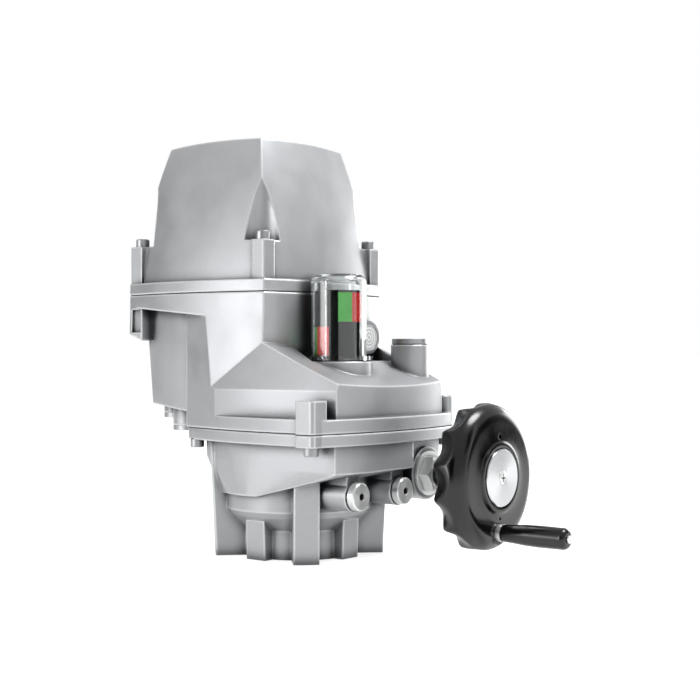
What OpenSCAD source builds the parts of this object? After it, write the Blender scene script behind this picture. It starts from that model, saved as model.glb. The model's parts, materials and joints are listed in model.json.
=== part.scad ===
// Quarter-turn electric valve actuator with worm gearbox, handwheel and position indicator.
// Z is the output axis, the origin is the middle of the valve flange, +X points to the handwheel.

/* [Valve flange] */
// Radius over the four mounting ribs
rib_r = 60; // [58:0.5:64]
// Width of a mounting rib
rib_w = 17.6; // [16:0.2:19]
// Outer bolt circle diameter
outer_pcd = 102; // [101:0.5:103]
// Tapped hole of the outer bolt circle
outer_tap = 8.5; // [8:0.1:9]
// Inner bolt circle diameter
inner_pcd = 70; // [69:0.5:71]
// Tapped hole of the inner bolt circle
inner_tap = 6.8; // [6:0.1:7]
// Depth of the tapped holes
tap_depth = 16; // [14:1:17]
// Outside radius of the base ring
ring_r = 39.5; // [39:0.5:41]
// Height of the base ring
ring_h = 20; // [18:0.5:22]
// Side of the square stem socket
socket_side = 22; // [17:0.5:22]
// Depth of the stem socket
socket_depth = 30; // [26:1:34]

/* [Gear case] */
// Radius of the round neck
neck_r = 52.6; // [52:0.2:54]
// Underside of the neck shoulder
neck_low = 34; // [32:0.5:35]
// Height where the neck meets the spreading body
neck_top = 45; // [44:0.5:46]
// Radius at the foot of the spreading body
body_foot_r = 56; // [55:0.5:57]
// Seam between gear case and main housing
seam_z = 89.4; // [88:0.2:91]
// Thickness of the lower flange band
low_band = 8; // [7:0.5:9]
// Wall of the castings
wall = 5; // [4:0.5:5]
// Radius of the cavity round the worm wheel
wheel_bay_r = 46.5; // [46:0.5:47]
// Outside radius of the worm tunnel
tunnel_r = 19; // [18:0.5:20]
// Bore of the worm tunnel
tunnel_bore = 14.8; // [14.5:0.1:15]
// Left end of the worm tunnel
tunnel_left = -60; // [-62:0.5:-58]
// Right end of the worm tunnel
tunnel_right = 74; // [73:0.5:75]

/* [Flange outline] */
// Right end of the flange at its corners
flange_x = 72; // [70:0.5:74]
// Left end of the flange
flange_left = 66; // [64:0.5:68]
// Middle of the flange across the worm axis
flange_mid = 16; // [15:0.5:17]
// Half width of the flange at its corners
flange_half = 72; // [71:0.5:73]
// How far the flange sides bulge outwards
flange_bulge = 8; // [7:0.5:9]
// Step from the flange edge to the long walls
step_y = 9.5; // [8:0.5:10]
// Step from the flange edge to the front wall
step_front = 7.4; // [7:0.1:8]
// Step from the flange edge to the end wall
step_x = 3.5; // [3:0.5:5]
// Thickness of the upper flange band
top_band = 10; // [9:0.5:11]
// Side of the square bolt bosses
boss_side = 16.5; // [15.5:0.5:17.5]
// Top of the square bolt bosses
boss_top = 112; // [110:0.5:114]

/* [Housing and hood] */
// Middle of the hood along the worm axis
hood_x = -61; // [-62:0.5:-60]
// Middle of the hood across the worm axis
hood_y = 21.7; // [21:0.1:22.5]
// Half size of the rim at its corners
rim_half = 67.2; // [67:0.2:68]
// How far the rim sides bulge outwards
rim_bulge = 8.5; // [8:0.5:9]
// Seam under the hood
hood_seam = 185.9; // [184:0.1:188]
// Height of the rim above the seam
rim_h = 8.2; // [7:0.2:9]
// Step from the rim to the hood shell
shell_step = 3.6; // [3.2:0.1:4.2]
// Top of the hood
hood_top = 299; // [296:0.5:302]
// Height where the curve of the shell would stand upright
lean_from = 151; // [145:1:155]
// Radius of the curve of the shell from its foot to its top
shell_curve = 468; // [450:2:490]
// Distance of the hood screws inside the rim corners
bolt_step = 6.7; // [6.2:0.1:7.2]
// Top of the hood screw bosses
hood_boss_top = 222.7; // [220:0.5:225]
// Width of a hood screw boss
hood_boss = 11.5; // [11:0.1:12]
// Radius of the tool recess above each boss
recess_r = 11.5; // [11:0.1:12]
// Wall of the hood
hood_wall = 4; // [3.5:0.1:4.5]
// How far the wiring bay is set back under the rim
bay_step = 10; // [9:0.5:11]
// Bottom of the wiring bay at its outer end
bay_low = 105.8; // [104:0.2:107]
// Underside of the rim lip at its outer end
lip_z = 177.4; // [176:0.2:178]
// How far the long walls of the tower flare out at the flange
tower_flare = 3.5; // [3:0.1:4]
// Height of the roof ridge at the tower
roof_z = 150.7; // [149:0.1:152]
// Fall of the roof per millimetre
roof_slope = 0.431; // [0.42:0.001:0.44]
// Height where the long walls start to lean in
draft_z = 118; // [116:0.5:120]

/* [Position indicator] */
// Outside radius of the dome
dome_r = 20; // [19.5:0.1:20.5]
// Top of the dome
dome_top = 198.5; // [195:0.5:202]
// Wall of the dome
dome_wall = 2.2; // [2:0.1:2.5]
// Floor of the roof pocket and top of the collar
pocket_z = 137.4; // [136.5:0.1:138]
// Radius of the collar and of the dome foot
collar_r = 24.2; // [23.5:0.1:25]
// Radius of the indicator drum
drum_r = 16.5; // [15.5:0.1:17]
// Top of the indicator drum
drum_top = 187; // [184:0.5:190]

/* [Worm drive] */
// Module of the worm wheel
worm_module = 2.1; // [2.09:0.005:2.11]
// Teeth on the worm wheel
wheel_teeth = 41; // [40:1:42]
// Mean radius of the worm
worm_r = 11.95; // [11.9:0.05:12]
// Height of the worm axis
worm_z = 57.2; // [57:0.1:57.5]
// Height of the tooth waves above their mean line
worm_wave = 1.75; // [1.6:0.05:1.8]
// Radial clearance in the worm mesh
worm_gap = 0.7; // [0.65:0.05:0.8]
// Radius of the worm shaft journals
shaft_r = 6; // [5.5:0.1:6.2]
// Module of the spur gears
spur_module = 1; // [0.99:0.005:1.01]
// Teeth on the worm shaft gear
drive_teeth = 26; // [26:1:27]
// Teeth on the idler gear
idler_teeth = 51; // [50:1:52]
// Teeth on the motor pinion
pinion_teeth = 16; // [15:1:17]
// Teeth on each indicator gear
ind_teeth = 36; // [36:1:37]
// Radius of the motor
motor_r = 18.5; // [17:0.5:18.5]
// Length of the motor
motor_len = 56; // [50:1:56]

/* [End stops] */
// Distance of each stop screw from the output axis
stop_y = 25.2; // [25:0.1:25.5]
// Height of the stop screws
stop_z = 46.7; // [46.5:0.1:47]
// Radius of the stop screws
stop_r = 4; // [3.5:0.1:4]
// Radius of the cap heads
cap_r = 9.5; // [9:0.1:10]
// Face of the end stop bosses
cap_seat = 70; // [69:0.5:71]
// Thickness of a cap head
cap_head = 5.5; // [5:0.5:6]

/* [Handwheel] */
// Handwheel radius
hand_r = 51.4; // [50:0.2:53]
// Front face of the handwheel disc
hand_face = 137.2; // [136:0.1:138]
// Depth of the handwheel from its front to its lobes
hand_depth = 25.3; // [24:0.1:26]
// Radius of the metal disc
disc_r = 20; // [19:0.5:20]
// Lobes on the handwheel
lobes = 12; // [10:1:14]
// Distance of the crank from the wheel axis
crank_r = 38; // [37:0.5:39]
// Length of the crank grip
grip_len = 50; // [45:1:55]
// Width of the bearing nut across flats
nut_af = 24; // [23:0.5:25]

/* [Fasteners] */
// Radius of an M6 screw
m6_r = 3; // [2.9:0.05:3]
// Radius of an M6 socket head
m6_head_r = 5; // [4.8:0.1:5.2]
// Height of an M6 socket head
m6_head_h = 6; // [5.5:0.1:6.5]

/* [Clearances] */
// Radial clearance of running fits
run_gap = 0.05; // [0.03:0.01:0.08]
// Thickness of the gaskets
gasket_t = 0.8; // [0.6:0.1:1]
// Gap between a moving piece and what it passes
free_gap = 0.5; // [0.4:0.05:0.8]
// Clearance hole allowance for a screw
hole_gap = 0.3; // [0.2:0.05:0.4]

/* [Hidden] */
$fn = 72;

// Colours
cast_color = "#c3c5c7";
steel_color = "#d5d7d9";
dark_steel = "#8d9094";
rubber_color = "#2a2b2d";
black = "#1b1c1e";
bronze = "#b98a4a";
brass = "#cdae62";

// Reach of a cut that goes right through, and overlap of joined solids
far = 200;
eps = 0.02;

// Gear places
wheel_pitch = worm_module * wheel_teeth / 2;
worm_y = wheel_pitch + worm_r;
thread_pitch = PI * worm_module;
worm_turns = 5;
worm_half = worm_turns * thread_pitch / 2;
drive_pitch = spur_module * drive_teeth / 2;
idler_pitch = spur_module * idler_teeth / 2;
pinion_pitch = spur_module * pinion_teeth / 2;
idler_lean = 10;
idler_y = worm_y - (drive_pitch + idler_pitch) * sin(idler_lean);
idler_z = worm_z + (drive_pitch + idler_pitch) * cos(idler_lean);
motor_z = idler_z + idler_pitch + pinion_pitch;
ind_pitch = spur_module * ind_teeth / 2;
ind_x = 2 * ind_pitch;
spur_wave = 0.9 * spur_module;
spur_gap = 0.35;
gear_face = 7;
gear_x = -38;
wheel_face_w = 11;
idler_pin_r = 3;

drive_phase = 180 + idler_lean;
idler_phase = mesh_phase(drive_teeth, drive_phase, 180 + idler_lean, idler_teeth, idler_lean);
pinion_phase = mesh_phase(idler_teeth, idler_phase, 180, pinion_teeth, 0);

// Hood places that follow the rim
shell_half = rim_half - shell_step;
hood_bolt = rim_half - bolt_step;

// Levels
base_z = seam_z + gasket_t;
floor_top = base_z + wall;
hood_base = hood_seam + gasket_t;
tower_x = hood_x + rim_half;
bay_x = -49;
lip_fall = 0.091;
bay_fall = 0.11;
facet_angle = 12.6;
facet_y = -48;

// Output drive
journal_r = 20;
hub_r = 18;
neck_shaft_r = 15;
upper_shaft_r = 12;
stop_cam_r = 29.5;
cam_low = 42.5;
cam_top = 49.8;
cam_half = 6;
ind_gear_z = 99.5;
ind_gear_h = 6;

// Worm shaft bearings
bearing_od = 13;
bearing_w = 9;
front_bearing_x = 52;
rear_bearing_x = -54;
nut_x = tunnel_right + 2;
nut_len = 9;

// Places of the screws
case_bolts = [[62.6, flange_mid - flange_half - 6], [63.5, flange_mid + flange_half - 0.5],
    [-59, -44], [-59, 2 * hood_y + 44]];
hood_bolts = [for (sx = [-1, 1], sy = [-1, 1]) [hood_x + sx * hood_bolt, hood_y + sy * hood_bolt]];
rib_angles = [45:90:315];

// Pillar, cable entries and status window
pillar_at = [51.3, 65];
pillar_r = 13.8;
pillar_top = 149.3;
entry_large = [-90, -21];
entry_small = [-112.5, -12];
entry_large_r = 12;
entry_small_r = 9.5;
entry_large_z = 89.7;
entry_small_z = 98;
window_at = [12, 64, 155];
window_r = 12.3;

// Board on the front wall of the wiring bay
board_size = [76, 1.6, 62];
board_at = [-100, -27, 116];

// Radius of an arc over a chord of given half length and rise
function arc_r(half, rise) = (half * half + rise * rise) / (2 * rise);
// Radius of the drawn tooth wave at an angle
function wave_r(pitch_r, teeth, gap, wave, a, phase) =
    pitch_r - gap / 2 + wave * cos(teeth * (a - phase));
// Phase of gear b that meshes with gear a, from the directions to each other
function mesh_phase(teeth_a, phase_a, dir_a, teeth_b, dir_b) =
    dir_b + (teeth_a * (dir_a - phase_a) + 180) / teeth_b;
// Roof height over the gearbox
function roof_at(x) = roof_z - roof_slope * max(0, x - tower_x);
// Underside of the rim lip
function lip_at(x) = lip_z - lip_fall * (x + 126);
// Underside of the wiring bay
function bay_at(x) = bay_low - bay_fall * (x + 118);

// Square plan with four bulged sides, as a solid turned from a side profile drawn in radius and height
module pillow(half, rise) {
    r = arc_r(half, rise);
    intersection_for(a = [0:90:270])
        rotate(a)
            translate([half + rise - r, 0, 0])
                rotate_extrude($fn = 180)
                    children();
}

// Square plan with four bulged sides
module pillow_plan(half, rise) {
    r = arc_r(half, rise);
    intersection_for(a = [0:90:270])
        rotate(a)
            translate([half + rise - r, 0])
                circle(r, $fn = 180);
}

// Plate or block along X from a drawing of its height over Y
module along_x(x0, x1) {
    translate([x0, 0, 0])
        rotate([90, 0, 90])
            linear_extrude(x1 - x0)
                children();
}

// Block along Y from a drawing of its height over X
module along_y(y0, y1) {
    translate([0, y1, 0])
        rotate([90, 0, 0])
            linear_extrude(y1 - y0)
                children();
}

// Rod along X
module rod_x(r, x0, x1, y = 0, z = 0) {
    translate([x0, y, z])
        rotate([0, 90, 0])
            cylinder(r = r, h = x1 - x0);
}

// Turned piece whose drawing holds radius and distance along X
module turned_x(y, z) {
    translate([0, y, z])
        rotate([0, 90, 0])
            rotate_extrude()
                children();
}

// Ring along Z
module ring(ro, ri, z0, z1) {
    translate([0, 0, z0])
        difference() {
            cylinder(r = ro, h = z1 - z0);
            translate([0, 0, -1])
                cylinder(r = ri, h = z1 - z0 + 2);
        }
}

// Ring along X
module ring_x(ro, ri, x0, x1, y, z) {
    difference() {
        rod_x(ro, x0, x1, y, z);
        rod_x(ri, x0 - 1, x1 + 1, y, z);
    }
}

// Hexagon bar along Z, sized across its flats
module hexagon(af, h) {
    cylinder(d = af / cos(30), h = h, $fn = 6);
}

// Gear with wave shaped teeth
module wave_gear(pitch_r, teeth, gap, wave, face, phase) {
    steps = 8 * teeth;
    linear_extrude(face)
        polygon([for (i = [0:steps - 1])
            let (a = i * 360 / steps, r = wave_r(pitch_r, teeth, gap, wave, a, phase))
            [r * cos(a), r * sin(a)]]);
}

// Flange plan, with the walls stepped in by dx and dy; crest is the middle of the front side
module flange_plan(dx = 0, dy = 0, front_dy = undef, crest = undef) {
    side = flange_half - dy;
    front = flange_half - (front_dy == undef ? dy : front_dy);
    chord = (flange_x + flange_left) / 2;
    middle = (flange_x - flange_left) / 2;
    long_r = arc_r(chord, flange_bulge);
    end_r = arc_r(flange_half, flange_bulge);
    intersection() {
        translate([crest == undef ? middle : crest, flange_mid - front - flange_bulge + long_r])
            circle(long_r, $fn = 180);
        translate([middle, flange_mid + side + flange_bulge - long_r])
            circle(long_r, $fn = 180);
        translate([flange_x - dx + flange_bulge - end_r, flange_mid])
            circle(end_r, $fn = 180);
        translate([-flange_left + dx, flange_mid - far])
            square([far, 2 * far]);
    }
}

// The slanted facets beside the wiring bay, as cutters from z0 to z1, moved inwards by inset
module facet_cuts(z0, z1, inset = 0) {
    for (s = [0, 1])
        translate([0, s * 2 * hood_y, 0])
            mirror([0, s, 0])
                intersection() {
                    translate([-far, -far, z0])
                        cube([far + 20, far, z1 - z0]);
                    translate([-flange_left, facet_y + inset, seam_z])
                        rotate(-facet_angle)
                            translate([-far, -far, -far])
                                cube([2 * far, far, 2 * far]);
                }
}

// Square bosses on the flange corners
module flange_bosses(z0, z1) {
    for (i = [0, 1])
        translate([case_bolts[i][0], case_bolts[i][1], z0])
            linear_extrude(z1 - z0)
                intersection() {
                    square(boss_side, center = true);
                    circle(boss_side * [0.62, 0.52][i]);
                }
}

// Flange band between two heights
module flange_band(z0, z1) {
    difference() {
        translate([0, 0, z0])
            linear_extrude(z1 - z0)
                flange_plan(0, 0, 1, 34);
        facet_cuts(z0 - 1, z1 + 1);
    }
}

// Round bars at the places of the flange screws
module at_case_bolts(r, z0, z1) {
    for (p = case_bolts)
        translate([p[0], p[1], z0])
            cylinder(r = r, h = z1 - z0);
}

// Round bars at the places of the hood screws
module at_hood_bolts(r, z0, z1) {
    for (p = hood_bolts)
        translate([p[0], p[1], z0])
            cylinder(r = r, h = z1 - z0);
}

// Plan of the gear case body under the flange
module body_plan(inset) {
    intersection() {
        flange_plan(step_x + inset, step_y + inset);
        translate([-20, -far])
            square([far, 2 * far]);
    }
    for (y = [-34, 66])
        translate([-40, y])
            circle(14 - inset, $fn = 48);
}

// Spreading body of the gear case, from the round neck to the flange
module case_body(inset) {
    tilt = 3.5;
    hull() {
        difference() {
            translate([0, 0, seam_z - 30])
                linear_extrude(30 - low_band + eps)
                    body_plan(inset);
            translate([0, 0, 67 + inset])
                rotate([0, tilt, 0])
                    translate([-far, -far, -far])
                        cube([2 * far, 2 * far, far]);
            facet_cuts(0, far, inset);
        }
        translate([0, 0, neck_top + inset])
            cylinder(r = body_foot_r - inset, h = 1, $fn = 48);
    }
}

// Space under the rising underside on the handwheel side
module underside_cut() {
    along_y(-far, far)
        polygon([[8, neck_top - 30], [8, neck_top], [80, neck_top + 18.5], [100, neck_top - 30]]);
}

// Set-back part of the end wall round the worm tunnel
module end_recess() {
    translate([0, 0, 20])
        linear_extrude(seam_z - low_band - 20)
            difference() {
                translate([40, 35])
                    square([60, 80]);
                flange_plan(step_x + 3, step_y);
            }
}

// Outside of the neck and base ring
module neck_outside() {
    rotate_extrude()
        polygon([[0, 0], [ring_r, 0], [ring_r, ring_h], [neck_r - 2.6, neck_low - 4],
            [neck_r, neck_low], [neck_r, neck_top + 15], [0, neck_top + 15]]);
}

// Mounting ribs and the smaller ribs between them
module base_ribs() {
    for (a = rib_angles)
        rotate(a)
            along_y(-rib_w / 2, rib_w / 2)
                polygon([[20, 0], [rib_r, 0], [rib_r + 4, seam_z - low_band], [20, seam_z - low_band]]);
    for (a = [0:90:270])
        rotate(a)
            along_y(-rib_w * 0.48, rib_w * 0.48)
                polygon([[20, 0], [46.5, 0], [47.5, ring_h + 7.5], [40, ring_h + 14], [20, ring_h + 14]]);
}

module gear_case() {
    color(cast_color)
    difference() {
        union() {
            difference() {
                case_body(0);
                underside_cut();
                end_recess();
            }
            neck_outside();
            intersection() {
                base_ribs();
                translate([0, 0, -1])
                    cylinder(r1 = rib_r, r2 = rib_r + 4, h = seam_z - low_band + 1);
            }
            flange_band(seam_z - low_band, seam_z);
            flange_bosses(seam_z - low_band, seam_z);
            rod_x(tunnel_r, tunnel_left, tunnel_right, worm_y, worm_z);
            for (s = [-1, 1]) {
                rod_x(cap_r + 0.8, 30, cap_seat, s * stop_y, stop_z);
                translate([30, s * stop_y - 7, stop_z])
                    cube([cap_seat - 31, 14, 19]);
            }
        }
        // Bore for the lower bush and the seal
        translate([0, 0, -1])
            cylinder(r = journal_r + 5.5, h = 7);
        translate([0, 0, -1])
            cylinder(r = journal_r + 3, h = 30);
        translate([0, 0, ring_h + 4])
            cylinder(r = stop_cam_r + 1, h = 20);
        translate([0, 0, cam_low - 4])
            cylinder(r = wheel_bay_r, h = 40);
        // Room over the worm wheel
        difference() {
            translate([0, 0, 72])
                cylinder(r = 48, h = 20);
            at_case_bolts(8.5, 0, far);
        }
        // Pocket under the idler gear
        rod_x(idler_pitch + 2, gear_x - 2, gear_x + gear_face + 2, idler_y, idler_z);
        // Worm tunnel with its two bearing seats
        rod_x(tunnel_bore, rear_bearing_x + bearing_w, front_bearing_x, worm_y, worm_z);
        rod_x(bearing_od, rear_bearing_x, tunnel_right + 1, worm_y, worm_z);
        rod_x(11, tunnel_left - 1, rear_bearing_x + 1, worm_y, worm_z);
        // Slot over the worm shaft gear
        translate([gear_x - 2, worm_y - tunnel_bore + 1, worm_z])
            cube([gear_face + 4, 2 * tunnel_bore - 2, 30]);
        // End stops
        for (s = [-1, 1])
            rod_x(stop_r, 20, cap_seat + 1, s * stop_y, stop_z);
        for (s = [-1, 1])
            rod_x(cap_r - 2.5, cap_seat - 8, cap_seat + 1, s * stop_y, stop_z);
        // Tapped holes of the valve flange
        for (a = rib_angles)
            rotate(a) {
                translate([outer_pcd / 2, 0, -1])
                    cylinder(d = outer_tap, h = tap_depth + 1);
                translate([inner_pcd / 2, 0, -1])
                    cylinder(d = inner_tap, h = tap_depth + 1);
            }
        at_case_bolts(m6_r + hole_gap, seam_z - low_band - 1, seam_z + 1);
    }
}

module case_gasket() {
    color(rubber_color)
    difference() {
        union() {
            flange_band(seam_z, base_z);
            flange_bosses(seam_z, base_z);
        }
        difference() {
            translate([0, 0, seam_z - 1])
                linear_extrude(3)
                    flange_plan(step_x + wall, step_y + wall);
            facet_cuts(0, far, wall);
            at_case_bolts(8.5, 0, far);
        }
        at_case_bolts(m6_r + hole_gap, seam_z - 1, base_z + 1);
    }
}

// Tower and rim of the main housing with its corner posts, or its cavity when inset
module tower(inset) {
    low = inset > 0 ? floor_top : base_z;
    left = -flange_left + inset;
    lift = inset * 1.2;
    difference() {
        intersection() {
            tower_block(rim_half - inset, low, hood_seam + min(inset, 1));
            union() {
                along_y(-far, far)
                    polygon([[left, low - 1], [90, low - 1], [90, far], [-far, far],
                        [-far, lip_at(-far) + lift], [left, lip_at(left) + lift]]);
                if (inset == 0)
                    rim_posts();
            }
        }
        intersection() {
            facet_cuts(low - 1, far, inset);
            along_y(-far, far)
                polygon([[-90, low - 2], [20, low - 2], [20, lip_at(20) + lift],
                    [-90, lip_at(-90) + lift]]);
        }
        if (inset == 0)
            post_pockets();
    }
}

// Tower between two heights, its long walls flared outwards towards the flange
module tower_block(half, z0, z1) {
    r = arc_r(half, rim_bulge);
    low_r = r + tower_flare * (lip_z - z0) / (lip_z - base_z);
    translate([hood_x, hood_y, 0])
        intersection_for(a = [0:90:270])
            rotate(a)
                translate([half + rim_bulge - r, 0, 0])
                    rotate_extrude($fn = 180)
                        polygon([[0, z0], [a % 180 == 90 ? low_r : r, z0], [r, lip_z - 4], [r, z1], [0, z1]]);
}

// Blocks of the posts under the left hood screws
module rim_posts() {
    side = 17;
    x0 = hood_x - rim_half - 2;
    for (s = [0, 1])
        translate([0, s * 2 * hood_y, 0])
            mirror([0, s, 0])
                along_y(hood_y - rim_half - 2, hood_y - rim_half - 2 + side)
                    polygon([[x0, 158.4], [x0 + side, 152.6], [x0 + side, 190], [x0, 190]]);
}

// Coring pockets on the outer faces of the posts
module post_pockets() {
    for (s = [0, 1])
        translate([0, s * 2 * hood_y, 0])
            mirror([0, s, 0])
                translate([hood_x - rim_half + 3.5, hood_y - rim_half - 3, 158.6])
                    cube([10, 4, 17]);
}

// Wiring bay beside the tower, or its cavity when inset
module wiring_bay(inset) {
    r = arc_r(rim_half - bay_step, rim_bulge);
    right = -flange_left + 4 + 3 * inset;
    intersection() {
        translate([hood_x, hood_y, 0])
            pillow(rim_half - bay_step, rim_bulge)
                polygon([[0, 90], [r - 3.4 - inset, 90], [r - inset, 150], [r - inset, 182], [0, 182]]);
        along_y(-far, far)
            polygon([[-far, bay_at(-far) + inset], [right, bay_at(right) + inset],
                [right, lip_at(right) + 3 + inset], [-far, lip_at(-far) + 3 + inset]]);
    }
}

// Gearbox cover with its sloping roof
module cover(inset) {
    low = inset > 0 ? floor_top : base_z;
    top = roof_z - inset;
    long_r = arc_r((flange_x + flange_left) / 2, flange_bulge);
    end_r = arc_r(flange_half, flange_bulge);
    front = flange_half - step_front + flange_bulge - inset;
    rear = flange_half - step_y + flange_bulge - inset;
    intersection() {
        leaning_side(-10, flange_mid - front + long_r, long_r, low);
        leaning_side((flange_x - flange_left) / 2, flange_mid + rear - long_r, long_r, low);
        translate([flange_x - step_x - inset + flange_bulge - end_r, flange_mid, low])
            cylinder(r = end_r, h = roof_z - low, $fn = 180);
        along_y(-far, far)
            polygon([[-40, low], [90, low], [90, roof_at(90) - inset], [tower_x, top], [-40, top]]);
    }
}

// Bulged side of the cover that leans in above its straight foot
module leaning_side(x, y, r, low) {
    translate([x, y, 0])
        rotate_extrude($fn = 180)
            polygon([[0, low], [r, low], [r, draft_z], [r - 0.29 * (roof_z - draft_z), roof_z], [0, roof_z]]);
}

// Flat pocket in the roof round the dome
module roof_pocket(depth) {
    x1 = tower_x + (roof_z - pocket_z) / roof_slope;
    translate([0, 0, pocket_z - depth])
        linear_extrude(40)
            polygon([[tower_x - 12, -21], [tower_x, -21], [x1 + 0.1, -30], [x1 + 4, -30],
                [x1 + 4, 73], [tower_x - 12, 78]]);
}

// Pads that carry the board posts
module board_pads() {
    for (p = board_corners)
        let (reach = p[0] > -60 ? 16.5 : 4.5)
            translate([p[0], board_at[1] - 6, p[1]])
                rotate([90, 0, 0])
                    cylinder(r = 5, h = reach);
}

// Corners of the board where the posts stand
board_corners = [for (sx = [5, board_size[0] - 5], sz = [5, board_size[2] - 5])
    [board_at[0] + sx, board_at[2] + sz]];

module main_housing() {
    color(cast_color)
    difference() {
        union() {
            difference() {
                union() {
                    tower(0);
                    wiring_bay(0);
                    difference() {
                        cover(0);
                        roof_pocket(0);
                        facet_cuts(base_z - 1, far);
                    }
                    flange_band(base_z, seam_z + top_band);
                    flange_bosses(base_z, boss_top);
                }
                difference() {
                    union() {
                        tower(wall);
                        wiring_bay(wall);
                        difference() {
                            cover(wall);
                            roof_pocket(wall);
                            facet_cuts(base_z - 1, far, wall);
                        }
                    }
                    at_hood_bolts(8.5, 150, far);
                    at_case_bolts(8.5, 0, boss_top);
                }
            }
            board_pads();
            translate([ind_x, 0, 118])
                cylinder(r = collar_r, h = pocket_z - 118);
            translate([pillar_at[0], pillar_at[1], 122])
                cylinder(r = pillar_r, h = pillar_top - 122);
            translate([entry_large[0], entry_large[1], entry_large_z])
                cylinder(r = entry_large_r, h = 20);
            translate([entry_small[0], entry_small[1], entry_small_z])
                cylinder(r = entry_small_r, h = 12);
        }
        // Collar bore for the indicator bush
        translate([ind_x, 0, 100])
            cylinder(r = 7, h = 60);
        translate([ind_x, 0, 100])
            cylinder(r = collar_r - 6, h = 30);
        // Upper bush, idler slot and wiring hole in the floor
        translate([0, 0, base_z - 1])
            cylinder(r = upper_shaft_r + 3, h = wall + 2);
        translate([gear_x - 2, idler_y - idler_pitch - 3, base_z - 1])
            cube([gear_face + 4, 2 * idler_pitch + 6, wall + 2]);
        translate([gear_x - 8.4, idler_y - 6, base_z - 1])
            cube([10, 12, wall + 2]);
        // Cable entries
        translate([entry_large[0], entry_large[1], entry_large_z - 1])
            cylinder(r = entry_large_r - 2.5, h = 40);
        translate([entry_small[0], entry_small[1], entry_small_z - 1])
            cylinder(r = entry_small_r - 2.5, h = 40);
        // Filler hole in the pillar
        translate([pillar_at[0], pillar_at[1], 110])
            cylinder(r = pillar_r - 6, h = 60);
        // Status window
        rod_x(window_r - 3, window_at[0] - 20, window_at[0] + 8, window_at[1], window_at[2]);
        rod_x(window_r + 0.1, window_at[0] - 2, window_at[0] + 8, window_at[1], window_at[2]);
        // Tapped holes for the hood and flange screws
        at_hood_bolts(m6_r, hood_seam - 20, hood_seam + 1);
        at_case_bolts(m6_r, base_z - 1, base_z + 16);
    }
}

module hood_gasket() {
    color(rubber_color)
    difference() {
        translate([hood_x, hood_y, hood_seam])
            linear_extrude(gasket_t)
                difference() {
                    pillow_plan(rim_half - 0.6, rim_bulge);
                    difference() {
                        pillow_plan(shell_half - hood_wall, rim_bulge);
                        for (sx = [-1, 1], sy = [-1, 1])
                            translate([sx * hood_bolt, sy * hood_bolt])
                                circle(recess_r + hood_wall);
                    }
                }
        at_hood_bolts(m6_r + hole_gap, hood_seam - 1, hood_base + 1);
    }
}

// Shell of the hood, or its cavity when inset
module hood_shell(inset, z0) {
    r = arc_r(shell_half, rim_bulge) - inset;
    foot = hood_base - lean_from;
    lean_x = r + inset - sqrt(shell_curve * shell_curve - foot * foot);
    top = hood_top - inset;
    translate([hood_x, hood_y, 0])
        intersection() {
            pillow(shell_half, rim_bulge)
                intersection() {
                    translate([0, z0])
                        square([r + 5, top - z0]);
                    translate([lean_x, lean_from])
                        circle(shell_curve - inset, $fn = 720);
                }
            translate([0, 0, top - 900])
                sphere(900, $fn = 360);
        }
}

// Tapered recesses above the corner bosses
module tool_recesses(r) {
    for (p = hood_bolts)
        translate([p[0], p[1], hood_boss_top])
            cylinder(r1 = r + 3.5, r2 = r - 3.7, h = 84);
}

module hood() {
    color(cast_color)
    difference() {
        union() {
            difference() {
                hood_shell(0, hood_base);
                tool_recesses(recess_r);
            }
            translate([hood_x, hood_y, hood_base])
                linear_extrude(rim_h)
                    pillow_plan(rim_half, rim_bulge);
            for (a = [0:90:270])
                translate([hood_x, hood_y, hood_base])
                    rotate(a) {
                        translate([rim_half - 0.7 - hood_boss, rim_half - 0.7 - hood_boss, 0])
                            cube([hood_boss, hood_boss, hood_boss_top - hood_base]);
                        hood_boss_fillets();
                    }
        }
        difference() {
            hood_shell(hood_wall, hood_base - 1);
            tool_recesses(recess_r + hood_wall);
            at_hood_bolts(recess_r + hood_wall + 3.5, hood_base - 2, hood_boss_top);
        }
        at_hood_bolts(m6_r + hole_gap, hood_seam - 1, hood_boss_top + 1);
    }
}

// Blends between a corner boss and the shell on both sides
module hood_boss_fillets() {
    edge = rim_half - 0.7 - hood_boss;
    r = 6.5;
    for (m = [0, 1])
        mirror([m, -m, 0])
            translate([edge - r, shell_half - 4.5, 0])
                difference() {
                    cube([r + 1, r + 1, hood_boss_top - hood_base]);
                    translate([0, r + 1, -1])
                        cylinder(r = r, h = hood_boss_top);
                }
}

// M6 socket head screw, head up, seat at the origin
module socket_screw(len) {
    cylinder(r = m6_r - 0.02, h = eps);
    translate([0, 0, -len])
        cylinder(r = m6_r - 0.02, h = len + eps);
    difference() {
        union() {
            cylinder(r = m6_head_r, h = m6_head_h - 0.6);
            translate([0, 0, m6_head_h - 0.6 - eps])
                cylinder(r1 = m6_head_r, r2 = m6_head_r - 0.6, h = 0.6);
        }
        translate([0, 0, m6_head_h - 3])
            hexagon(5, 4);
    }
}

module hood_screws() {
    color(steel_color)
    for (p = hood_bolts)
        translate([p[0], p[1], hood_boss_top])
            socket_screw(hood_boss_top - hood_seam + 14);
}

module case_screws() {
    color(steel_color)
    for (p = case_bolts)
        translate([p[0], p[1], seam_z - low_band])
            rotate([180, 0, 0])
                socket_screw(low_band + 12);
}

// Set screw of an end stop, its tip close to the stop cam
module stop_screw(s) {
    difference() {
        rod_x(stop_r - run_gap, cam_half + 0.4, cap_seat - 10, s * stop_y, stop_z);
        translate([cap_seat - 14, s * stop_y, stop_z])
            rotate([0, 90, 0])
                hexagon(4, 5);
    }
}

module stop_screw_open() {
    color(dark_steel)
    stop_screw(-1);
}

module stop_screw_close() {
    color(dark_steel)
    stop_screw(1);
}

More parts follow.
